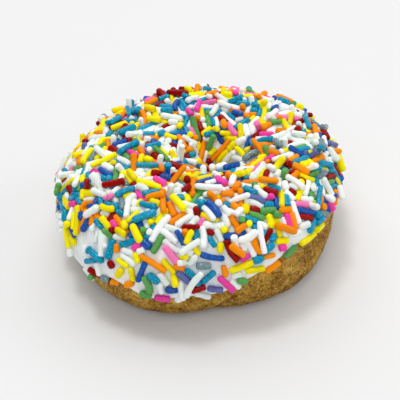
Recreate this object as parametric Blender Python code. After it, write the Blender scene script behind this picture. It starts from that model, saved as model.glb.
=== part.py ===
"""A frosted ring doughnut: an uneven cake ring that rests on its flat base, and icing over its top.

Metres, +Z up. The origin is at the middle of the underside. The icing hangs lowest on the -X, -Y side.
"""

import math

import bmesh
import bpy
from mathutils import Vector

# The cake ring. Its section runs from the hole's wall to the outer wall, and its waist is its widest level.
RING_HEIGHT = 0.0295
WAIST_HEIGHT = 0.0122
HOLE_RADIUS = 0.0066
HOLE_CENTRE = Vector((0.0066, -0.0012))
HOLE_SWELL = 0.0005
OUTER_FULLNESS = 2.15  # superellipse powers: 2 is an ellipse, and more is squarer
HOLE_FULLNESS = 2.7
BASE_FULLNESS = 3.1
BASE_TRIM = 0.0006  # how much of the rounded underside the flat base cuts away

# The ring's outline at its waist, a little squashed, with a dent at the front: azimuth in degrees, radius.
OUTLINE = (
    (-180, 0.0410),
    (-150, 0.0423),
    (-122, 0.0441),
    (-104, 0.0438),
    (-88, 0.0417),
    (-75, 0.0425),
    (-60, 0.0433),
    (-45, 0.0421),
    (-18, 0.0407),
    (15, 0.0418),
    (45, 0.0434),
    (75, 0.0431),
    (105, 0.0424),
    (140, 0.0417),
    (160, 0.0414),
)

# The icing. Its outer edge is low and wavy round the front left and high round the right: azimuth, height.
ICING_EDGE = (
    (-180, 0.0126),
    (-143, 0.0118),
    (-123, 0.0146),
    (-111, 0.0120),
    (-100, 0.0125),
    (-83, 0.0119),
    (-74, 0.0162),
    (-62, 0.0191),
    (-45, 0.0200),
    (-15, 0.0196),
    (30, 0.0182),
    (75, 0.0165),
    (120, 0.0145),
    (155, 0.0132),
)
EDGE_RIPPLE = 0.00025
EDGE_RIPPLES = 11
ICING_INNER_EDGE = 0.0160
ICING_THICKNESS = 0.0018
ICING_SIDE_THICKNESS = 0.0012
ICING_GAP = 0.0003

AZIMUTH_STEPS = 72
CAKE_STEPS = 24
SKIN_STEPS = 15
UNDERSIDE_STEPS = 9
LIP_SHARES = (0.0, 0.2, 0.6)  # where the rounded lip's points lie, as shares of its depth
SLOPE_STEP = 1e-4  # the turn over which a slope is measured

CAKE_LOOK = ("cake_crust", (0.40, 0.22, 0.055), 0.8)
ICING_LOOK = ("white_icing", (0.86, 0.88, 0.88), 0.35)


def smooth_curve(knots, azimuth):
    """The value at an azimuth of a smooth closed curve through (degrees, value) knots."""
    here = (math.degrees(azimuth) - knots[0][0]) % 360 + knots[0][0]
    count = len(knots)
    index = max(i for i in range(count) if knots[i][0] <= here + 1e-6)
    before, start, stop, after = (knots[(index + step) % count][1] for step in (-1, 0, 1, 2))
    end = knots[index + 1][0] if index + 1 < count else knots[0][0] + 360
    share = (here - knots[index][0]) / (end - knots[index][0])
    cubic = 3 * (start - stop) + after - before
    square = 2 * before - 5 * start + 4 * stop - after
    return start + share * (stop - before + share * (square + share * cubic)) / 2


def icing_edge_height(azimuth):
    return smooth_curve(ICING_EDGE, azimuth) + EDGE_RIPPLE * math.sin(EDGE_RIPPLES * azimuth)


def section(azimuth):
    """(middle of the ring at the waist, unit vector outwards, half width) of the section at an azimuth."""
    outwards = Vector((math.cos(azimuth), math.sin(azimuth)))
    hole = HOLE_RADIUS + HOLE_SWELL * math.cos(3 * azimuth)
    inner = HOLE_CENTRE + outwards * hole
    outer = outwards * smooth_curve(OUTLINE, azimuth)
    return (inner + outer) / 2, (outer - inner).normalized(), (outer - inner).length / 2


def signed_power(value, power):
    return math.copysign(abs(value) ** power, value)


def profile(half_width, turn):
    """(distance from the section's middle, height). The turn is 0 at the outer waist, a quarter at the crest."""
    across, up = math.cos(turn), math.sin(turn)
    if up >= 0:
        fullness = OUTER_FULLNESS if across > 0 else HOLE_FULLNESS
        height = WAIST_HEIGHT + (RING_HEIGHT - WAIST_HEIGHT) * up ** (2 / fullness)
    else:
        fullness = BASE_FULLNESS
        height = max(0.0, WAIST_HEIGHT - (WAIST_HEIGHT + BASE_TRIM) * (-up) ** (2 / fullness))
    return half_width * signed_power(across, 2 / fullness), height


def turn_at(height, fullness):
    """The turn, counted up from the waist, at which a wall of this fullness has this height."""
    if height >= WAIST_HEIGHT:
        return math.asin(((height - WAIST_HEIGHT) / (RING_HEIGHT - WAIST_HEIGHT)) ** (fullness / 2))
    return -math.asin(((WAIST_HEIGHT - height) / (WAIST_HEIGHT + BASE_TRIM)) ** (BASE_FULLNESS / 2))


def surface_point(azimuth, turn, offset=0.0):
    """A point on the cake's surface, moved off it by the offset."""
    middle, outwards, half_width = section(azimuth)
    away, height = profile(half_width, turn)
    if offset:
        away_after, height_after = profile(half_width, turn + SLOPE_STEP)
        away_before, height_before = profile(half_width, turn - SLOPE_STEP)
        normal = Vector((height_after - height_before, away_before - away_after)).normalized()
        away += offset * normal.x
        height += offset * normal.y
    across = middle + outwards * away
    return Vector((across.x, across.y, height))


def closed_ring(name, loops):
    """A mesh of loops of points, each joined to the next and the last to the first."""
    mesh = bmesh.new()
    rings = [[mesh.verts.new(point) for point in loop] for loop in loops]
    for ring, following in zip(rings, rings[1:] + rings[:1]):
        for index in range(len(ring)):
            after = (index + 1) % len(ring)
            mesh.faces.new((ring[index], following[index], following[after], ring[after]))
    bmesh.ops.recalc_face_normals(mesh, faces=mesh.faces)
    data = bpy.data.meshes.new(name)
    mesh.to_mesh(data)
    mesh.free()
    data.shade_smooth()
    made = bpy.data.objects.new(name, data)
    bpy.context.scene.collection.objects.link(made)
    return made


def azimuths():
    return [math.tau * index / AZIMUTH_STEPS for index in range(AZIMUTH_STEPS)]


def make_cake():
    turns = [math.tau * (index + 0.5) / CAKE_STEPS for index in range(CAKE_STEPS)]
    return closed_ring(
        "cake_ring", [[surface_point(azimuth, turn) for turn in turns] for azimuth in azimuths()]
    )


def icing_loop(azimuth):
    """The icing's section: its skin from the outer edge over the crest into the hole, then its underside."""
    start = turn_at(icing_edge_height(azimuth), OUTER_FULLNESS)
    stop = math.pi - turn_at(ICING_INNER_EDGE, HOLE_FULLNESS)
    reach = (surface_point(azimuth, start) - surface_point(azimuth, start + SLOPE_STEP)).length / SLOPE_STEP
    lip = ICING_SIDE_THICKNESS / reach
    span = stop - start - 2 * lip
    turns = [start + share * lip for share in LIP_SHARES]
    turns += [start + lip + span * index / SKIN_STEPS for index in range(SKIN_STEPS + 1)]
    turns += [stop - share * lip for share in reversed(LIP_SHARES)]
    loop = []
    for turn in turns:
        inwards = min(1.0, min(turn - start, stop - turn) / lip)
        roundness = math.sqrt(1 - (1 - inwards) ** 2)
        lift = max(0.0, math.sin(turn))
        thickness = ICING_SIDE_THICKNESS + (ICING_THICKNESS - ICING_SIDE_THICKNESS) * lift
        loop.append(surface_point(azimuth, turn, ICING_GAP + thickness * roundness))
    for index in range(1, UNDERSIDE_STEPS + 1):
        turn = stop + (start - stop) * index / (UNDERSIDE_STEPS + 1)
        loop.append(surface_point(azimuth, turn, ICING_GAP))
    return loop


def make_icing():
    return closed_ring("icing", [icing_loop(azimuth) for azimuth in azimuths()])


def set_look(made, look):
    name, colour, roughness = look
    material = bpy.data.materials.new(name)
    material.use_nodes = True
    shader = material.node_tree.nodes["Principled BSDF"]
    shader.inputs["Base Color"].default_value = (*colour, 1.0)
    shader.inputs["Roughness"].default_value = roughness
    made.data.materials.append(material)


def centre_on_origin(pieces):
    """Moves the meshes together so that the middle of the underside is at the origin."""
    corners = [vertex.co for piece in pieces for vertex in piece.data.vertices]
    middle = [(min(c[axis] for c in corners) + max(c[axis] for c in corners)) / 2 for axis in (0, 1)]
    for piece in pieces:
        for vertex in piece.data.vertices:
            vertex.co -= Vector((*middle, 0.0))


def main():
    for old in list(bpy.data.objects):
        bpy.data.objects.remove(old)
    cake = make_cake()
    icing = make_icing()
    set_look(cake, CAKE_LOOK)
    set_look(icing, ICING_LOOK)
    centre_on_origin((cake, icing))


main()
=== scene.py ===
"""The looks of a sprinkle frosted doughnut: crumbly crust, soft white icing and a random coat of sprinkles.

Metres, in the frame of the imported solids. An azimuth runs round the origin from +X towards +Y, so the front,
where the camera stands and the side has its dent, is at -90 degrees.
"""
import math

import bmesh
import bpy
import numpy as np
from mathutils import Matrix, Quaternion, Vector
from mathutils.bvhtree import BVHTree


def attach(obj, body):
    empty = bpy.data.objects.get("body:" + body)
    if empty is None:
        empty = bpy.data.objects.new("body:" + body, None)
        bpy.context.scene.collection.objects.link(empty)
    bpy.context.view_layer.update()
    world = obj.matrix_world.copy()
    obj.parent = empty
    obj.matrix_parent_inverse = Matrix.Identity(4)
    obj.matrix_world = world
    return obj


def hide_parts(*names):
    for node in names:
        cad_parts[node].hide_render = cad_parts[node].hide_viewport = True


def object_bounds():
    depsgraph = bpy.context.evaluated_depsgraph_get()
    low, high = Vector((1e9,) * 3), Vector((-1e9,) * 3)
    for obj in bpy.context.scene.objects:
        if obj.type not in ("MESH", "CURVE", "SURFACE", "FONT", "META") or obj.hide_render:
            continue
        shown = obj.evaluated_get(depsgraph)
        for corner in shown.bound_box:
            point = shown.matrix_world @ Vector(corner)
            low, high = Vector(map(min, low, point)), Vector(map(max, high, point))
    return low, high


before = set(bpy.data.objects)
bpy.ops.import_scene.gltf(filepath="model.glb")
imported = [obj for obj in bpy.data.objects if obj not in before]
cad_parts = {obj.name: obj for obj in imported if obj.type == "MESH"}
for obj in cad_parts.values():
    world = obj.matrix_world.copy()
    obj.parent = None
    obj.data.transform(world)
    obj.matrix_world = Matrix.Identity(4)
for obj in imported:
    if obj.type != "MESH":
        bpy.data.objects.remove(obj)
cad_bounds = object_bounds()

MM = 0.001
LOW, HIGH = cad_bounds
CENTRE = (LOW + HIGH) / 2
HEIGHT = HIGH.z - LOW.z
RING_CORE_RADIUS = 24 * MM  # the circle in the middle of the dough, from which outwards is told
RING_CORE_HEIGHT = 12 * MM

# ---------------------------------------------------------------- camera, floor and light

CAMERA_ELEVATION = math.radians(37)
CAMERA_ROLL = math.radians(4)
CAMERA_DISTANCE = 240 * MM
CAMERA_TARGET = Vector((CENTRE.x + 0.2 * MM, CENTRE.y + 1.0 * MM, LOW.z + 10.3 * MM))
SENSOR = 36.0
LENS = 69.66

FLOOR_SIZE = 6.0
FLOOR_COLOUR = (0.815, 0.815, 0.818)
SKY_STRENGTH = 0.22

# The lamps: name, direction to it (azimuth and elevation in degrees), distance, size, watts.
LAMPS = (
    ("back_panel", 90, 60, 1.25, 1.8, 10.6),
    ("overhead", 120, 79, 1.25, 0.28, 3.5),
    ("front_fill", -95, 42, 1.25, 1.0, 5.9),
    ("right_fill", 0, 22, 1.25, 1.0, 3.8),
)


def towards(azimuth, elevation):
    """The unit vector in a direction given in degrees."""
    turn, rise = math.radians(azimuth), math.radians(elevation)
    return Vector((math.cos(rise) * math.cos(turn), math.cos(rise) * math.sin(turn), math.sin(rise)))


def link(name, data):
    made = bpy.data.objects.new(name, data)
    bpy.context.scene.collection.objects.link(made)
    return made


def aim(made, direction):
    """Turns a camera or a lamp to look along a direction."""
    made.rotation_mode = "QUATERNION"
    made.rotation_quaternion = direction.to_track_quat("-Z", "Y")


def make_camera():
    data = bpy.data.cameras.new("camera")
    data.sensor_width = SENSOR
    data.lens = LENS
    data.clip_start = 0.01
    data.clip_end = 20
    camera = link("camera", data)
    back = Vector((0, -math.cos(CAMERA_ELEVATION), math.sin(CAMERA_ELEVATION)))
    camera.location = CAMERA_TARGET + back * CAMERA_DISTANCE
    aim(camera, -back)
    camera.rotation_quaternion @= Quaternion((0, 0, 1), -CAMERA_ROLL)
    bpy.context.scene.camera = camera


def make_lights():
    world = bpy.data.worlds.new("studio")
    world.use_nodes = True
    sky = world.node_tree.nodes["Background"]
    sky.inputs["Color"].default_value = (1, 1, 1, 1)
    sky.inputs["Strength"].default_value = SKY_STRENGTH
    bpy.context.scene.world = world
    bpy.context.scene.view_settings.view_transform = "Standard"
    for name, azimuth, elevation, distance, size, watts in LAMPS:
        data = bpy.data.lights.new(name, "AREA")
        data.shape = "DISK"
        data.size = size
        data.energy = watts
        lamp = link(name, data)
        lamp.location = CENTRE + towards(azimuth, elevation) * distance
        aim(lamp, -towards(azimuth, elevation))


def make_floor():
    mesh = bmesh.new()
    bmesh.ops.create_grid(mesh, x_segments=1, y_segments=1, size=FLOOR_SIZE / 2)
    data = bpy.data.meshes.new("floor")
    mesh.to_mesh(data)
    mesh.free()
    floor = link("floor", data)
    floor.location.z = LOW.z
    look = Look("floor_paper")
    look.set(roughness=0.9, specular=0.1)
    shade = [value * 0.995 for value in FLOOR_COLOUR]
    look.colour(look.ramp(look.noise(scale=900, detail=2), ((0.3, shade), (0.7, FLOOR_COLOUR))))
    data.materials.append(look.material)


# ---------------------------------------------------------------- materials

class Look:
    """A Principled material, with short calls for the nodes that drive it."""

    def __init__(self, name):
        self.material = bpy.data.materials.new(name)
        self.material.use_nodes = True
        self.nodes = self.material.node_tree.nodes
        self.links = self.material.node_tree.links
        self.shader = self.nodes["Principled BSDF"]
        self.place = self.nodes.new("ShaderNodeTexCoord").outputs["Object"]

    def set(self, roughness=0.5, specular=0.5, coat=(0.0, 0.1), scatter=0.0, reach=(1, 1, 1), depth=MM):
        """The shader's own numbers. The reach is how far each colour scatters, as a share of the depth."""
        inputs = self.shader.inputs
        inputs["Roughness"].default_value = roughness
        inputs["Specular IOR Level"].default_value = specular
        inputs["Coat Weight"].default_value = coat[0]
        inputs["Coat Roughness"].default_value = coat[1]
        inputs["Subsurface Weight"].default_value = scatter
        inputs["Subsurface Radius"].default_value = reach
        inputs["Subsurface Scale"].default_value = depth

    def noise(self, scale, detail=3, roughness=0.5):
        node = self.nodes.new("ShaderNodeTexNoise")
        node.inputs["Scale"].default_value = scale
        node.inputs["Detail"].default_value = detail
        node.inputs["Roughness"].default_value = roughness
        self.links.new(self.place, node.inputs["Vector"])
        return node.outputs["Fac"]

    def cells(self, scale):
        node = self.nodes.new("ShaderNodeTexVoronoi")
        node.inputs["Scale"].default_value = scale
        self.links.new(self.place, node.inputs["Vector"])
        return node.outputs["Distance"]

    def attribute(self, name):
        node = self.nodes.new("ShaderNodeAttribute")
        node.attribute_name = name
        return node.outputs["Fac"]

    def ramp(self, value, stops):
        node = self.nodes.new("ShaderNodeValToRGB")
        elements = node.color_ramp.elements
        while len(elements) < len(stops):
            elements.new(0.5)
        for element, (position, colour) in zip(elements, stops):
            element.position = position
            element.color = (*colour, 1)
        self.links.new(value, node.inputs["Fac"])
        return node.outputs["Color"]

    def spread(self, value, low, high, to_low, to_high):
        """The value's range from low to high, stretched over another range."""
        node = self.nodes.new("ShaderNodeMapRange")
        node.inputs["From Min"].default_value = low
        node.inputs["From Max"].default_value = high
        node.inputs["To Min"].default_value = to_low
        node.inputs["To Max"].default_value = to_high
        self.links.new(value, node.inputs["Value"])
        return node.outputs["Result"]

    def mix(self, kind, share, first, second):
        """Two colours mixed. The share and each colour may be a plain value or a node's output."""
        node = self.nodes.new("ShaderNodeMix")
        node.data_type = "RGBA"
        node.blend_type = kind
        colour_inputs = [socket for socket in node.inputs if socket.type == "RGBA"]
        for socket, value in zip((node.inputs[0], *colour_inputs), (share, first, second)):
            if isinstance(value, bpy.types.NodeSocket):
                self.links.new(value, socket)
            elif socket.type == "RGBA":
                socket.default_value = (*value, 1)
            else:
                socket.default_value = value
        return next(socket for socket in node.outputs if socket.type == "RGBA")

    def colour(self, output):
        self.links.new(output, self.shader.inputs["Base Color"])

    def roughness(self, output):
        self.links.new(output, self.shader.inputs["Roughness"])

    def bump(self, height, distance, strength=1.0):
        """Adds relief to the shading, on top of any that was added before."""
        node = self.nodes.new("ShaderNodeBump")
        node.inputs["Distance"].default_value = distance
        node.inputs["Strength"].default_value = strength
        self.links.new(height, node.inputs["Height"])
        earlier = self.shader.inputs["Normal"].links
        if earlier:
            self.links.new(earlier[0].from_socket, node.inputs["Normal"])
        self.links.new(node.outputs["Normal"], self.shader.inputs["Normal"])


def linear(red, green, blue):
    """A linear colour from display values of 0 to 255."""
    return tuple(
        value / 255 / 12.92 if value <= 10 else ((value / 255 + 0.055) / 1.055) ** 2.4
        for value in (red, green, blue)
    )


def crust_look():
    """Golden brown, browner where it fried longest, with pale dry crumbs. The pits and the crack are darkened
    with painted shade, and the crust darkens towards the floor, mostly painted shade and partly the browner
    frying of its underside.
    """
    look = Look("crust")
    look.set(specular=0.2)
    patches = look.noise(scale=120, detail=8, roughness=0.8)
    brown = look.ramp(
        patches,
        (
            (0.38, linear(116, 74, 10)),
            (0.47, linear(162, 118, 32)),
            (0.55, linear(194, 150, 56)),
            (0.66, linear(220, 184, 100)),
        ),
    )
    # Painted shade: this ramp darkens the crust in its pits and its crack; the lighter end is the crumbs' own
    # paler colour.
    depth = look.ramp(
        look.attribute("crumbs_and_painted_shade"),
        ((0.10, (0.42, 0.32, 0.20)), (0.40, (0.84, 0.79, 0.70)), (0.62, (1.0, 1.0, 1.0))),
    )
    crumbly_and_shaded = look.mix("MULTIPLY", 1.0, brown, depth)
    grains = look.noise(scale=1500, detail=3, roughness=0.7)
    pale = look.spread(grains, 0.54, 0.64, 0.0, 0.65)
    speckled = look.mix("MIX", pale, crumbly_and_shaded, linear(226, 192, 112))
    burnt = look.spread(look.noise(scale=1700, detail=3), 0.38, 0.47, 0.6, 0.0)
    grainy = look.mix("MIX", burnt, speckled, linear(100, 62, 10))
    # Darker towards the floor: mostly painted shade near the floor, partly the browner frying of the
    # underside.
    base = look.ramp(look.attribute("rise"), ((0.0, (0.34, 0.29, 0.22)), (1.0, (1.0, 1.0, 1.0))))
    look.colour(look.mix("MULTIPLY", 1.0, grainy, base))
    look.roughness(look.spread(grains, 0.35, 0.65, 0.9, 0.6))
    look.bump(grains, 0.3 * MM, 1.0)
    look.bump(look.cells(1200), 0.16 * MM, 0.6)
    return look.material


def icing_look():
    """Soft sugar icing: cool white, a little see-through, with a satin skin."""
    look = Look("icing")
    look.set(specular=0.45, scatter=0.4, reach=(1.0, 0.95, 0.9), depth=0.9 * MM)
    clouds = look.noise(scale=130, detail=3)
    look.colour(look.ramp(clouds, ((0.3, linear(234, 243, 245)), (0.7, linear(247, 252, 251)))))
    look.roughness(look.spread(look.noise(scale=500), 0.3, 0.7, 0.28, 0.45))
    look.bump(look.noise(scale=330, detail=2), 0.22 * MM, 0.5)
    return look.material


# Sprinkle colours: name, display colour, share of the sprinkles, roughness, and how pearly the colour is.
# The pearly ones shine most, with more gloss and with glints painted into their colour.
COLOURS = (
    ("white", (243, 250, 246), 0.335, 0.40, 0.0),
    ("yellow", (255, 236, 0), 0.160, 0.40, 0.0),
    ("orange", (255, 146, 0), 0.110, 0.36, 0.0),
    ("teal", (0, 140, 176), 0.135, 0.16, 0.8),
    ("dark_red", (152, 3, 1), 0.085, 0.22, 0.0),
    ("blue", (24, 80, 164), 0.040, 0.18, 0.7),
    ("pink", (252, 124, 186), 0.027, 0.38, 0.0),
    ("magenta", (250, 72, 172), 0.014, 0.34, 0.0),
    ("green", (92, 162, 84), 0.034, 0.20, 0.3),
    ("grey", (112, 136, 142), 0.018, 0.18, 0.8),
    ("lilac", (96, 104, 164), 0.014, 0.20, 0.6),
)


def sprinkle_look(name, colour, roughness, pearl):
    """Pressed sugar: each sprinkle has its own tone, and the pearly ones have more gloss and pale specks
    painted into their colour as glints.
    """
    look = Look("sugar_" + name)
    look.set(specular=0.13 + 0.08 * pearl, coat=(0.12 * pearl, 0.08), scatter=0.05, depth=0.3 * MM)
    full = linear(*colour)
    light = tuple(min(1.0, value * 1.12) for value in full)
    dark = tuple(value * 0.84 for value in full)
    tone = look.ramp(look.attribute("tone"), ((0.0, dark), (0.5, full), (1.0, light)))
    # Painted glints: the pearly ones get pale specks in their colour for their sparkle.
    if pearl:
        painted_glints = look.noise(scale=2100, detail=2, roughness=0.6)
        pale = tuple(min(1.0, value * 2.3 + 0.02) for value in full)
        tone = look.mix("MIX", look.spread(painted_glints, 0.56, 0.66, 0.0, pearl), tone, pale)
    look.colour(tone)
    look.roughness(look.spread(look.noise(scale=1400), 0.3, 0.7, roughness - 0.08, roughness + 0.10))
    look.bump(look.noise(scale=1100, detail=3, roughness=0.6), 0.09 * MM, 0.5 + 0.4 * pearl)
    return look.material


# ---------------------------------------------------------------- noise and meshes

class Lumps:
    """Smooth random values over space, from -1 to 1, the same on each run."""

    def __init__(self, seed):
        self.table = np.random.default_rng(seed).uniform(-1, 1, 4096)

    def corner(self, cell):
        mixed = cell[:, 0] * 73856093 ^ cell[:, 1] * 19349663 ^ cell[:, 2] * 83492791
        return self.table[(mixed ^ (mixed >> 13)) & 4095]

    def at(self, points, size, octaves=1):
        total = np.zeros(len(points))
        weight, reach = 1.0, 0.0
        for octave in range(octaves):
            place = points / (size * 0.5**octave) + 17.3 * octave
            cell = np.floor(place).astype(np.int64)
            share = place - cell
            share = share * share * (3 - 2 * share)
            value = 0
            for corner in np.ndindex(2, 2, 2):
                step = np.array(corner)
                near = np.where(step == 1, share, 1 - share).prod(1)
                value = value + near * self.corner(cell + step)
            total += weight * value
            reach += weight
            weight *= 0.5
        return total / reach


def vectors_of(values, key, count):
    flat = np.empty(count * 3, np.float32)
    values.foreach_get(key, flat)
    return flat.reshape(-1, 3).astype(float)


def points_of(mesh):
    return vectors_of(mesh.vertices, "co", len(mesh.vertices))


def normals_of(mesh):
    return vectors_of(mesh.vertex_normals, "vector", len(mesh.vertices))


def set_points(mesh, points):
    mesh.vertices.foreach_set("co", np.asarray(points, np.float32).ravel())
    mesh.update()


def triangles_of(mesh):
    """The mesh's triangles, as an array of three points each."""
    mesh.calc_loop_triangles()
    corners = np.empty(len(mesh.loop_triangles) * 3, np.int32)
    mesh.loop_triangles.foreach_get("vertices", corners)
    return points_of(mesh)[corners.reshape(-1, 3)]


def tree_of(triangles):
    corners = np.arange(len(triangles) * 3).reshape(-1, 3)
    return BVHTree.FromPolygons(triangles.reshape(-1, 3).tolist(), corners.tolist())


def distances(tree, places):
    """How far each place is from the surface in the tree."""
    return np.array([tree.find_nearest(place)[3] for place in places.tolist()])


def gives_attribute(mesh, name, values):
    mesh.attributes.new(name, "FLOAT", "POINT").data.foreach_set("value", np.asarray(values, np.float32))


def copy_of_node(node, name):
    """A new object with the node's surface, its split corners joined and its triangles paired into quads."""
    mesh = bmesh.new()
    mesh.from_mesh(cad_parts[node].data)
    bmesh.ops.remove_doubles(mesh, verts=mesh.verts, dist=1e-6)
    bmesh.ops.join_triangles(mesh, faces=mesh.faces, angle_face_threshold=0.7, angle_shape_threshold=0.9)
    data = bpy.data.meshes.new(name)
    mesh.to_mesh(data)
    mesh.free()
    return link(name, data)


def add_modifier(piece, kind, **settings):
    modifier = piece.modifiers.new(kind.lower(), kind)
    for name, value in settings.items():
        setattr(modifier, name, value)


def apply_modifiers(piece):
    bpy.context.view_layer.update()
    graph = bpy.context.evaluated_depsgraph_get()
    mesh = bpy.data.meshes.new_from_object(piece.evaluated_get(graph))
    piece.modifiers.clear()
    old = piece.data
    piece.data = mesh
    bpy.data.meshes.remove(old)
    mesh.name = piece.name
    return mesh


def split_faces(mesh, chosen):
    """Halves the edges whose two ends are both chosen, which makes the faces there finer."""
    fine = bmesh.new()
    fine.from_mesh(mesh)
    edges = [edge for edge in fine.edges if chosen[edge.verts[0].index] and chosen[edge.verts[1].index]]
    bmesh.ops.subdivide_edges(fine, edges=edges, cuts=1, use_grid_fill=True)
    fine.to_mesh(mesh)
    fine.free()


def finish_piece(piece, material, node=None):
    """Gives a piece its material and smooth shading, hangs it on the root body, and hides the solid that it
    stands for.
    """
    piece.data.materials.append(material)
    piece.data.shade_smooth()
    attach(piece, "root")
    if node:
        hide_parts(node)


# ---------------------------------------------------------------- crust and icing

CRUST_VOXEL = 0.7 * MM
ICING_COVER = 1.2 * MM  # crust nearer than this to the icing's solid is under it or at its edge
BASE_EASE = 1.5 * MM  # the relief fades out over this height above the flat underside
BASE_ROUND = 4.5 * MM  # below this height the side is tucked in, which rounds the edge of the underside
BASE_TUCK = 2.4 * MM
BASE_SHADE_HEIGHT = 8.5 * MM  # the crust darkens below this height: mostly painted shade near the floor, partly browner frying

# The crust's relief, coarse to fine: the size of the lumps and how far they stand out.
ROLLS = (9 * MM, 0.40 * MM)
KNOBS = (3.2 * MM, 0.34 * MM)
CRUMBS = (1.1 * MM, 0.34 * MM)
PITS = (1.0 * MM, 0.36 * MM)
CRUMB_SHARPNESS = 2.6  # how steeply a crumb falls away from its ridge
PIT_START = 0.22  # the noise value at which a pit begins
PIT_FADE = 0.3  # and how much more of it makes the pit full depth
CRUMB_SHIFT = 5 * MM  # the crumbs and the pits read the noise this far off, so that they don't line up
PIT_SHIFT = 9 * MM

# The short crack in the dent at the front.
CRACK_AZIMUTH = math.radians(-83.5)
CRACK_HEIGHT = 6.0 * MM
CRACK_LENGTH = 3.6 * MM
CRACK_WIDTH = 0.8 * MM
CRACK_DEPTH = 1.3 * MM
CRACK_SLOPE = 0.8
CRACK_WANDER = 0.5 * MM
CRACK_WANDER_SIZE = 2 * MM


def make_crust():
    crust = copy_of_node("cake_ring", "crust")
    add_modifier(crust, "SUBSURF", levels=2, render_levels=2)
    add_modifier(crust, "REMESH", mode="VOXEL", voxel_size=CRUST_VOXEL, use_smooth_shade=True)
    add_modifier(crust, "SMOOTH", factor=0.5, iterations=3)
    mesh = apply_modifiers(crust)
    icing = tree_of(triangles_of(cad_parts["icing"].data))
    points = points_of(mesh)
    off_the_floor = points[:, 2] > LOW.z + CRUST_VOXEL / 2
    split_faces(mesh, off_the_floor & (distances(icing, points) > ICING_COVER))
    points, normals = points_of(mesh), normals_of(mesh)
    lumps = Lumps(11)
    relief = ROLLS[1] * lumps.at(points, ROLLS[0]) + KNOBS[1] * lumps.at(points, KNOBS[0], 2)
    crumbs = 1 - CRUMB_SHARPNESS * np.abs(lumps.at(points + CRUMB_SHIFT, CRUMBS[0], 2))
    pits = np.clip((lumps.at(points + PIT_SHIFT, PITS[0], 2) - PIT_START) / PIT_FADE, 0, 1)
    crack = crack_at(points, lumps)
    relief += CRUMBS[1] / 2 * crumbs - PITS[1] * pits - CRACK_DEPTH * crack
    relief *= np.clip((points[:, 2] - LOW.z) / BASE_EASE, 0, 1)
    moved = points + normals * relief[:, None]
    across = np.hypot(moved[:, 0], moved[:, 1])
    from_core = np.clip((across - RING_CORE_RADIUS) / ROLLS[0], -1, 1) / across
    tuck = BASE_TUCK * np.clip(1 - (moved[:, 2] - LOW.z) / BASE_ROUND, 0, 1) ** 2
    moved[:, :2] *= (1 - tuck * from_core)[:, None]
    moved[:, 2] = np.maximum(moved[:, 2], LOW.z)
    set_points(mesh, moved)
    # The rise sets the painted shade that darkens the crust towards the floor.
    gives_attribute(mesh, "rise", np.clip((points[:, 2] - LOW.z) / BASE_SHADE_HEIGHT, 0, 1))
    # Painted shade: the pits and the crack lower this value, which darkens them; the crumb ridges raise it for
    # their paler colour.
    gives_attribute(mesh, "crumbs_and_painted_shade", np.clip(0.55 + 0.3 * crumbs - 0.6 * pits - 0.7 * crack, 0, 1))
    finish_piece(crust, crust_look(), "cake_ring")
    return crust


def crack_at(points, lumps):
    """1 in the middle of the crack, and 0 away from it."""
    azimuth = np.arctan2(points[:, 1], points[:, 0])
    along = (azimuth - CRACK_AZIMUTH) * np.hypot(points[:, 0], points[:, 1])
    wander = CRACK_WANDER * lumps.at(points, CRACK_WANDER_SIZE)
    across = points[:, 2] - LOW.z - CRACK_HEIGHT - CRACK_SLOPE * along - wander
    return np.exp(-((along / CRACK_LENGTH) ** 2) - (across / CRACK_WIDTH) ** 2)


# The icing's relief, and what happens at its edge: the size of the lumps and how far they stand out.
SWELLS = (7 * MM, 0.30 * MM)
RIPPLES = (2.4 * MM, 0.10 * MM)
EDGE_BEADS = (5 * MM, 0.25 * MM)
EDGE_WANDER = (3.2 * MM, 0.55 * MM)
EDGE_REACH = 2.2 * MM  # how far up from its edge the icing is uneven and a little thicker
EDGE_BINS = 240


def outer_edge(points):
    """The height of the icing's outer edge above each point, found from the lowest points round it."""
    outer = np.hypot(points[:, 0], points[:, 1]) > RING_CORE_RADIUS
    azimuth = np.arctan2(points[:, 1], points[:, 0])
    which = ((azimuth / math.tau + 0.5) * EDGE_BINS).astype(int) % EDGE_BINS
    lowest = np.full(EDGE_BINS, np.inf)
    np.minimum.at(lowest, which[outer], points[outer, 2])
    lowest = np.convolve(np.r_[lowest[-2:], lowest, lowest[:2]], np.full(5, 0.2), "valid")
    return np.where(outer, points[:, 2] - lowest[which], np.inf)


def make_icing():
    icing = copy_of_node("icing", "icing_coat")
    add_modifier(icing, "SUBSURF", levels=2, render_levels=2)
    mesh = apply_modifiers(icing)
    split_faces(mesh, outer_edge(points_of(mesh)) < 2 * EDGE_REACH)
    points, normals = points_of(mesh), normals_of(mesh)
    lumps = Lumps(12)
    relief = SWELLS[1] * lumps.at(points, SWELLS[0], 2) + RIPPLES[1] * lumps.at(points, RIPPLES[0], 2)
    near_edge = np.exp(-((outer_edge(points) / EDGE_REACH) ** 2))
    relief += EDGE_BEADS[1] * near_edge * (1 + lumps.at(points, EDGE_BEADS[0]))
    moved = points + normals * relief[:, None]
    moved[:, 2] += EDGE_WANDER[1] * near_edge * lumps.at(points * (1, 1, 0), EDGE_WANDER[0], 3)
    set_points(mesh, moved)
    finish_piece(icing, icing_look(), "icing")
    return icing


# ---------------------------------------------------------------- where the sprinkles lie

SEED = 7
SPRINKLES = 1240
SKIN_CLEARANCE = 2.5 * MM  # crust farther than this from the icing's skin shows below it

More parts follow.
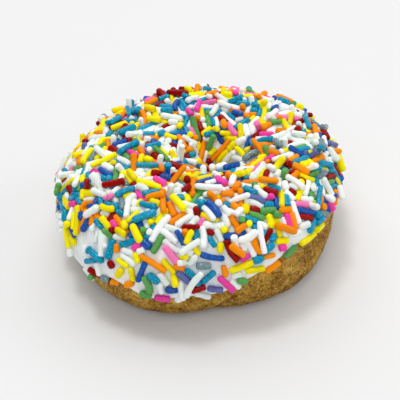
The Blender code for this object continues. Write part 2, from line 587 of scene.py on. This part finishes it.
# A sprinkle's size. Lengths are in millimetres: the middle and spread of most, and the ranges of the rest.
SPRINKLE_RADIUS = 0.92 * MM
RADIUS_SPREAD = 0.10
RADIUS_LIMITS = (0.80, 1.24)
USUAL_LENGTH = (4.9, 0.6)
SHORT_LENGTHS = (2.2, 3.9)
LONG_LENGTHS = (5.8, 8.8)
LENGTH_LIMITS = (2.0, 9.0)
SHORT_BELOW = 0.34  # a random number from 0 to 1 under this makes a short one
LONG_ABOVE = 0.88  # and one over this a long one
BENT_SHARE = 0.25
BENT = 0.3  # the most that a bent one bends
NEARLY_STRAIGHT = 0.08  # the spread of the others' bends

# How it lies. A sprinkle that leans more than LYING degrees out of the surface stays leaning.
LEANING_SHARE = 0.3
LYING = 15
STEEPEST = 65
LYING_SPREAD = 8
LEANING_STRETCH = 0.8  # the leaning ones are a little shorter
FLATTENING = 0.8  # how readily a lying one is laid flat in a round
LEANING_FLATTENING = 0.06  # and a leaning one
SINK = 0.28  # the share of its radius that a sprinkle mostly sinks into the icing
LEAST_SINK = 0.5  # times that share, up to one of the two below
MOST_SINK = 1.5
MOST_WHITE_SINK = 2.4

# They fall in three turns: share of them, height of the fall, rounds to settle.
FALLS = ((0.52, 0.6 * MM, 60), (0.28, 2.4 * MM, 50), (0.20, 4.0 * MM, 60))
FALL_SPREAD = 1.2 * MM
LAST_ROUNDS = 50
HOLD = 0.35  # how loose a sprinkle still is, as a share, each time that more fall on it

# How thickly they fall at a height, told as a share of the doughnut's height. The thickness rises from
# THINNEST up the side, and in the hole from nothing.
SIDE_START = 0.28
SIDE_RISE = 0.55
THINNEST = 0.4
HOLE_START = 0.45
HOLE_RISE = 0.3
HOLE_THICKEST = 1.2
HOLE_REACH = 15 * MM  # nearer to the middle than this is the hole and its rim
THICK = 0.6  # where they fall more thinly than this, some of the coloured ones are white instead

# The front of the icing is thinly covered. Some sprinkles lie on it well apart, with the colours more evenly
# mixed than elsewhere, and the rest there are mostly white.
FRONT_AZIMUTH = -87
FRONT_HALF_WIDTH = 47
FRONT_TOP = 0.86  # how high the thin stretch reaches, as a share of the height
FRONT_SIDE_FADE = 8  # degrees at each side over which it fades out
FRONT_TOP_FADE = 0.08
FRONT_THINNING = 0.78
FRONT_SPRINKLES = 66
FRONT_ROUNDS = 40
EVENNESS = 0.5  # the power of a colour's share that is its share there
FRONT_TRIES = 12  # each of them takes the roomiest of this many random places
FRONT_STRETCH = 1.15  # they are a little longer than the rest

# How they settle. A round pulls each down by up to PULL, and less towards the end of the rounds.
PULL = 0.22 * MM
PULL_FADE = 0.7
NEIGHBOUR_ROUNDS = 6  # rounds between two looks for neighbours, which are those nearer than NEIGHBOUR_GAP
NEIGHBOUR_GAP = 1.0 * MM
SQUASH = 0.97  # sprinkles count as touching at this share of their radii
PUSH = 0.6  # the share of an overlap that one round undoes
TURNING = 1.3  # makes up for a push being shared between two ends
CROWDING = 0.35  # how much each touch weakens all the pushes on an end


def faces_out(middles, facing):
    """True where a face looks away from the middle of the dough."""
    core = middles.copy()
    across = np.hypot(middles[:, 0], middles[:, 1])
    core[:, :2] *= (RING_CORE_RADIUS / np.maximum(across, 1e-6))[:, None]
    core[:, 2] = LOW.z + RING_CORE_HEIGHT
    return ((middles - core) * facing).sum(1) > 0


class Ground:
    """What the sprinkles lie on: the icing's skin, and the crust that shows beyond it."""

    def __init__(self, icing):
        skin = triangles_of(icing.data)
        across = np.cross(skin[:, 1] - skin[:, 0], skin[:, 2] - skin[:, 0])
        area = np.linalg.norm(across, axis=1) / 2
        facing = across / np.maximum(2 * area, 1e-20)[:, None]
        out = faces_out(skin.mean(1), facing)
        self.skin, self.area, self.facing = skin[out], area[out], facing[out]
        crust = triangles_of(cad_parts["cake_ring"].data)
        clear = distances(tree_of(self.skin), crust.mean(1)) > SKIN_CLEARANCE
        self.tree = tree_of(np.concatenate((self.skin, crust[clear])))

    def nearest(self, places):
        """(nearest points, outward normals) for an array of places."""
        found = [self.tree.find_nearest(place) for place in places.tolist()]
        return np.array([hit[0] for hit in found]), np.array([hit[1] for hit in found])

    def scatter(self, random, count, thickness, tries):
        """Random (points, normals) on the icing's skin, more of them where the thickness is greater. Each
        takes the one of its tries that is farthest from the others."""
        middles = self.skin.mean(1)
        weight = self.area * thickness(middles)
        picked = random.choice(len(weight), count * tries, p=weight / weight.sum())
        share = random.dirichlet((1, 1, 1), count * tries)
        places = (self.skin[picked] * share[:, :, None]).sum(1)
        chosen = [0]
        for start in range(tries, count * tries, tries):
            gap = places[start : start + tries, None] - places[chosen]
            chosen.append(start + (gap**2).sum(2).min(1).argmax())
        return places[chosen], self.facing[picked[chosen]]


def height_share(places):
    return (places[:, 2] - LOW.z) / HEIGHT


def frontness(places):
    """1 on the thinly covered front of the icing, fading to 0 round it."""
    azimuth = np.degrees(np.arctan2(places[:, 1], places[:, 0]))
    beside = np.clip((FRONT_HALF_WIDTH - np.abs(azimuth - FRONT_AZIMUTH)) / FRONT_SIDE_FADE, 0, 1)
    outside = np.hypot(places[:, 0], places[:, 1]) > RING_CORE_RADIUS
    return outside * beside * np.clip((FRONT_TOP - height_share(places)) / FRONT_TOP_FADE, 0, 1)


def thickness_of_fall(places):
    """How thickly sprinkles fall: thick on top, thinner low down and in front, and few deep in the hole."""
    height = height_share(places)
    low = np.clip((height - SIDE_START) / SIDE_RISE, THINNEST, 1.0)
    outer = np.hypot(places[:, 0] - CENTRE.x, places[:, 1] - CENTRE.y) > HOLE_REACH
    in_hole = np.clip((height - HOLE_START) / HOLE_RISE, 0, HOLE_THICKEST)
    return low * (1 - FRONT_THINNING * frontness(places)) * np.where(outer, 1.0, in_hole)


def lengths(random, count):
    """A third broken short, most of the rest 4 to 6 mm, and a few long ones."""
    kind = random.random(count)
    length = random.normal(*USUAL_LENGTH, count)
    length = np.where(kind < SHORT_BELOW, random.uniform(*SHORT_LENGTHS, count), length)
    length = np.where(kind > LONG_ABOVE, random.uniform(*LONG_LENGTHS, count), length)
    return length.clip(*LENGTH_LIMITS) * MM


def unit(vectors):
    return vectors / np.maximum(np.linalg.norm(vectors, axis=-1, keepdims=True), 1e-12)


class Pile:
    """Capsules that fall on the ground and push each other apart until they lie on it and on each other."""

    FIELDS = ("middle", "axis", "half", "radius", "sink", "loose", "flat", "bend", "colour")

    def __init__(self, ground):
        self.ground = ground
        self.random = np.random.default_rng(SEED)
        for field in self.FIELDS:
            setattr(self, field, np.zeros((0, 3) if field in ("middle", "axis") else 0))

    def add(self, **values):
        count = len(values["half"])
        for field in self.FIELDS:
            new = np.broadcast_to(values[field], (count, *getattr(self, field).shape[1:]))
            setattr(self, field, np.concatenate((getattr(self, field), new)))

    def drop(self, count, rise, on_front=False):
        """Adds random sprinkles above the icing. The ones that lay there before become harder to push."""
        thickness, tries = (frontness, FRONT_TRIES) if on_front else (thickness_of_fall, 1)
        places, normals = self.ground.scatter(self.random, count, thickness, tries)
        heading = self.random.normal(size=(count, 3))
        heading = unit(heading - normals * (heading * normals).sum(1)[:, None])
        lean = np.where(
            self.random.random(count) < LEANING_SHARE,
            self.random.uniform(LYING, STEEPEST, count),
            np.abs(self.random.normal(0, LYING_SPREAD, count)),
        )
        tilt = np.radians(lean)[:, None]
        radius = SPRINKLE_RADIUS * self.random.normal(1, RADIUS_SPREAD, count).clip(*RADIUS_LIMITS)
        lift = rise + self.random.uniform(0, FALL_SPREAD, count)
        bend = np.where(
            self.random.random(count) < BENT_SHARE,
            self.random.uniform(-BENT, BENT, count),
            self.random.normal(0, NEARLY_STRAIGHT, count),
        )
        length = np.where(lean > LYING, LEANING_STRETCH, 1.0) * lengths(self.random, count)
        shares = np.array([colour[2] for colour in COLOURS])
        if on_front:
            length *= FRONT_STRETCH
            shares **= EVENNESS
        colour = self.random.choice(len(COLOURS), count, p=shares / shares.sum())
        if not on_front:
            sparse = self.random.random(count) > thickness(places) / THICK
            colour = np.where(sparse, 0, colour)  # where few lie, most are white
        sink = SINK * self.random.uniform(LEAST_SINK, np.where(colour == 0, MOST_WHITE_SINK, MOST_SINK))
        self.loose *= HOLD
        self.add(
            middle=places + normals * lift[:, None],
            axis=heading * np.cos(tilt) + normals * np.sin(tilt),
            half=length / 2 - radius,
            radius=radius,
            sink=sink,
            loose=1,
            flat=np.where(lean > LYING, LEANING_FLATTENING, FLATTENING),
            bend=bend,
            colour=colour,
        )

    def ends(self):
        reach = self.axis * self.half[:, None]
        return self.middle - reach, self.middle + reach

    def settle(self, rounds):
        for step in range(rounds):
            if step % NEIGHBOUR_ROUNDS == 0:
                self.find_neighbours()
            pull = PULL * (1 - PULL_FADE * step / rounds)
            first, second = self.press(*self.ends(), pull)
            for _ in range(2):
                first, second = self.separate(first, second)
            self.middle = (first + second) / 2
            self.axis = unit(second - first)

    def find_neighbours(self):
        reach = self.half + self.radius
        gap = self.middle[:, None] - self.middle[None]
        near = (gap**2).sum(2) < (reach[:, None] + reach[None] + NEIGHBOUR_GAP) ** 2
        self.pairs = np.argwhere(np.triu(near, 1))

    def press(self, first, second, pull):
        """Lets each loose sprinkle fall until its lowest part touches, lays it flatter, and keeps it out."""
        places = np.concatenate((first, self.middle, second))
        points, normals = self.ground.nearest(places)
        gap = ((places - points) * normals).sum(1) - np.tile(self.radius * (1 - self.sink), 3)
        gap, normals = gap.reshape(3, -1), normals.reshape(3, -1, 3)
        moves = self.loose > 0
        lowest = gap.min(0)
        fall = (np.clip(lowest, 0, pull) * moves)[:, None] * normals[1]
        rise = (np.maximum(-gap[1], 0) * moves)[:, None] * normals[1] / 2
        moved = []
        for place, row in ((first, 0), (second, 2)):
            flatten = np.clip(gap[row] - lowest, 0, pull) * self.flat
            push = (np.maximum(-gap[row], 0) - flatten) * moves
            moved.append(place - fall + rise + push[:, None] * normals[row])
        return moved

    def separate(self, first, second):
        """Pushes overlapping sprinkles apart."""
        i, j = self.pairs.T
        share_i, share_j = closest_shares(first[i], second[i], first[j], second[j])
        near_i = first[i] + (second[i] - first[i]) * share_i[:, None]
        near_j = first[j] + (second[j] - first[j]) * share_j[:, None]
        gap = near_i - near_j
        distance = np.maximum(np.linalg.norm(gap, axis=1), 1e-9)
        overlap = (self.radius[i] + self.radius[j]) * SQUASH - distance
        hit = overlap > 0
        i, j, share_i, share_j = i[hit], j[hit], share_i[hit], share_j[hit]
        push = gap[hit] / distance[hit][:, None] * overlap[hit][:, None] * PUSH
        weight = self.loose[i] + self.loose[j] + 1e-6
        change_first, change_second = np.zeros_like(first), np.zeros_like(second)
        touches = np.ones(len(first))
        for which, share, sign in ((i, share_i, 1), (j, share_j, -1)):
            part = (sign * self.loose[which] / weight)[:, None] * push
            np.add.at(change_first, which, part * (1 - share)[:, None] * TURNING)
            np.add.at(change_second, which, part * share[:, None] * TURNING)
            np.add.at(touches, which, CROWDING)
        return first + change_first / touches[:, None], second + change_second / touches[:, None]


def closest_shares(a, b, c, d):
    """Where two segments a-b and c-d come nearest, as shares along each."""
    u, v, w = b - a, d - c, a - c
    uu, vv, uv = (u * u).sum(1) + 1e-12, (v * v).sum(1) + 1e-12, (u * v).sum(1)
    uw, vw = (u * w).sum(1), (v * w).sum(1)
    s = np.clip((uv * vw - vv * uw) / np.maximum(uu * vv - uv * uv, 1e-16), 0, 1)
    t = np.clip((uv * s + vw) / vv, 0, 1)
    s = np.clip((uv * t - uw) / uu, 0, 1)
    return s, t


# ---------------------------------------------------------------- the sprinkles' shapes

SIDES = 12
CAP_RINGS = (0.28, 0.58, 0.84)  # where the end's rings lie, as shares of a quarter turn
CAP_DEPTHS = (0.3, 0.6, 1.0)  # broken flat, blunt and round ends, as shares of the radius
CAP_ODDS = (0.15, 0.40, 0.45)
CAP_FULLNESS = 0.75  # the power that makes a cap squarer than round
BODY_RINGS = 5
TAPER = 0.06
UNEVENNESS = 0.045
ROLL = 0.4  # how far the side that a bent one bends to is turned out of the surface
OVAL = (0.9, 1.0)
TONES = (0.1, 0.9)


def rods(random, pile, which):
    """(points, faces) of the sprinkles at these places in the pile: uneven rods, some of them bent."""
    count = len(which)
    radius, length = pile.radius[which], 2 * (pile.half + pile.radius)[which]
    caps = radius[:, None] * random.choice(CAP_DEPTHS, (count, 2), p=CAP_ODDS)
    turn = np.array(CAP_RINGS) * math.pi / 2
    inset, size = 1 - np.cos(turn), np.sin(turn) ** CAP_FULLNESS
    body = np.linspace(caps[:, 0], length - caps[:, 1], BODY_RINGS, axis=1)
    place = np.hstack((caps[:, :1] * inset, body, length[:, None] - caps[:, 1:] * inset[::-1]))
    place -= length[:, None] / 2
    taper = random.normal(0, TAPER, (count, 1)) * np.linspace(-1, 1, place.shape[1])
    uneven = 1 + random.normal(0, UNEVENNESS, (count, BODY_RINGS))
    sizes = np.hstack((np.tile(size, (count, 1)), uneven, np.tile(size[::-1], (count, 1)))) * (1 + taper)

    axis = pile.axis[which]
    _, normals = pile.ground.nearest(pile.middle[which])
    sideways = unit(np.cross(normals, axis) + ROLL * random.normal(size=(count, 3)))
    side = unit(sideways - axis * (sideways * axis).sum(1)[:, None])
    across = np.cross(axis, side)
    bend = pile.bend[which] * length / 2
    share = 2 * place / length[:, None]
    bow = bend[:, None] * (1 / 3 - share**2)
    line = place[:, :, None] * axis[:, None] + bow[:, :, None] * side[:, None]
    slope = -2 * (bend / (length / 2))[:, None] * share
    own_side = unit(side[:, None] - slope[:, :, None] * axis[:, None])

    turns = np.linspace(0, math.tau, SIDES, endpoint=False)
    oval = random.uniform(*OVAL, count)[:, None, None, None]
    spokes = np.cos(turns)[:, None] * own_side[:, :, None]
    spokes = spokes + oval * np.sin(turns)[:, None] * across[:, None, None]
    rings = line[:, :, None] + (radius[:, None] * sizes)[:, :, None, None] * spokes
    tips = [end * (length / 2)[:, None] * axis - (bend * 2 / 3)[:, None] * side for end in (-1, 1)]
    points = np.concatenate((tips[0][:, None], rings.reshape(count, -1, 3), tips[1][:, None]), axis=1)
    points += pile.middle[which][:, None]
    step = points.shape[1]
    pattern = np.array(rod_faces(place.shape[1]))
    faces = (pattern + step * np.arange(count)[:, None, None]).reshape(-1, 3)
    return points, faces.tolist()


def rod_faces(rings):
    """The triangles of one rod: a tip, rings of points, and the other tip."""
    faces = []
    last_tip = 1 + rings * SIDES
    for side in range(SIDES):
        after = (side + 1) % SIDES
        faces.append((0, 1 + after, 1 + side))
        for ring in range(rings - 1):
            low, high = 1 + ring * SIDES, 1 + (ring + 1) * SIDES
            faces.append((low + side, low + after, high + after))
            faces.append((low + side, high + after, high + side))
        faces.append((last_tip - SIDES + side, last_tip - SIDES + after, last_tip))
    return faces


def build_sprinkles(pile):
    """One piece for each colour, with every sprinkle's tone as an attribute."""
    random = np.random.default_rng(SEED + 1)
    for kind, (name, colour, _, roughness, pearl) in enumerate(COLOURS):
        which = np.flatnonzero(pile.colour == kind)
        points, faces = rods(random, pile, which)
        mesh = bpy.data.meshes.new("sprinkles_" + name)
        mesh.from_pydata(points.reshape(-1, 3).tolist(), [], faces)
        gives_attribute(mesh, "tone", np.repeat(random.uniform(*TONES, len(which)), points.shape[1]))
        finish_piece(link("sprinkles_" + name, mesh), sprinkle_look(name, colour, roughness, pearl))


def make_sprinkles(icing):
    pile = Pile(Ground(icing))
    pile.drop(FRONT_SPRINKLES, 0, on_front=True)
    pile.settle(FRONT_ROUNDS)
    for share, rise, rounds in FALLS:
        pile.drop(int(SPRINKLES * share), rise)
        pile.settle(rounds)
    pile.settle(LAST_ROUNDS)
    build_sprinkles(pile)


# ---------------------------------------------------------------- the whole

make_camera()
make_lights()
make_floor()
make_crust()
make_sprinkles(make_icing())
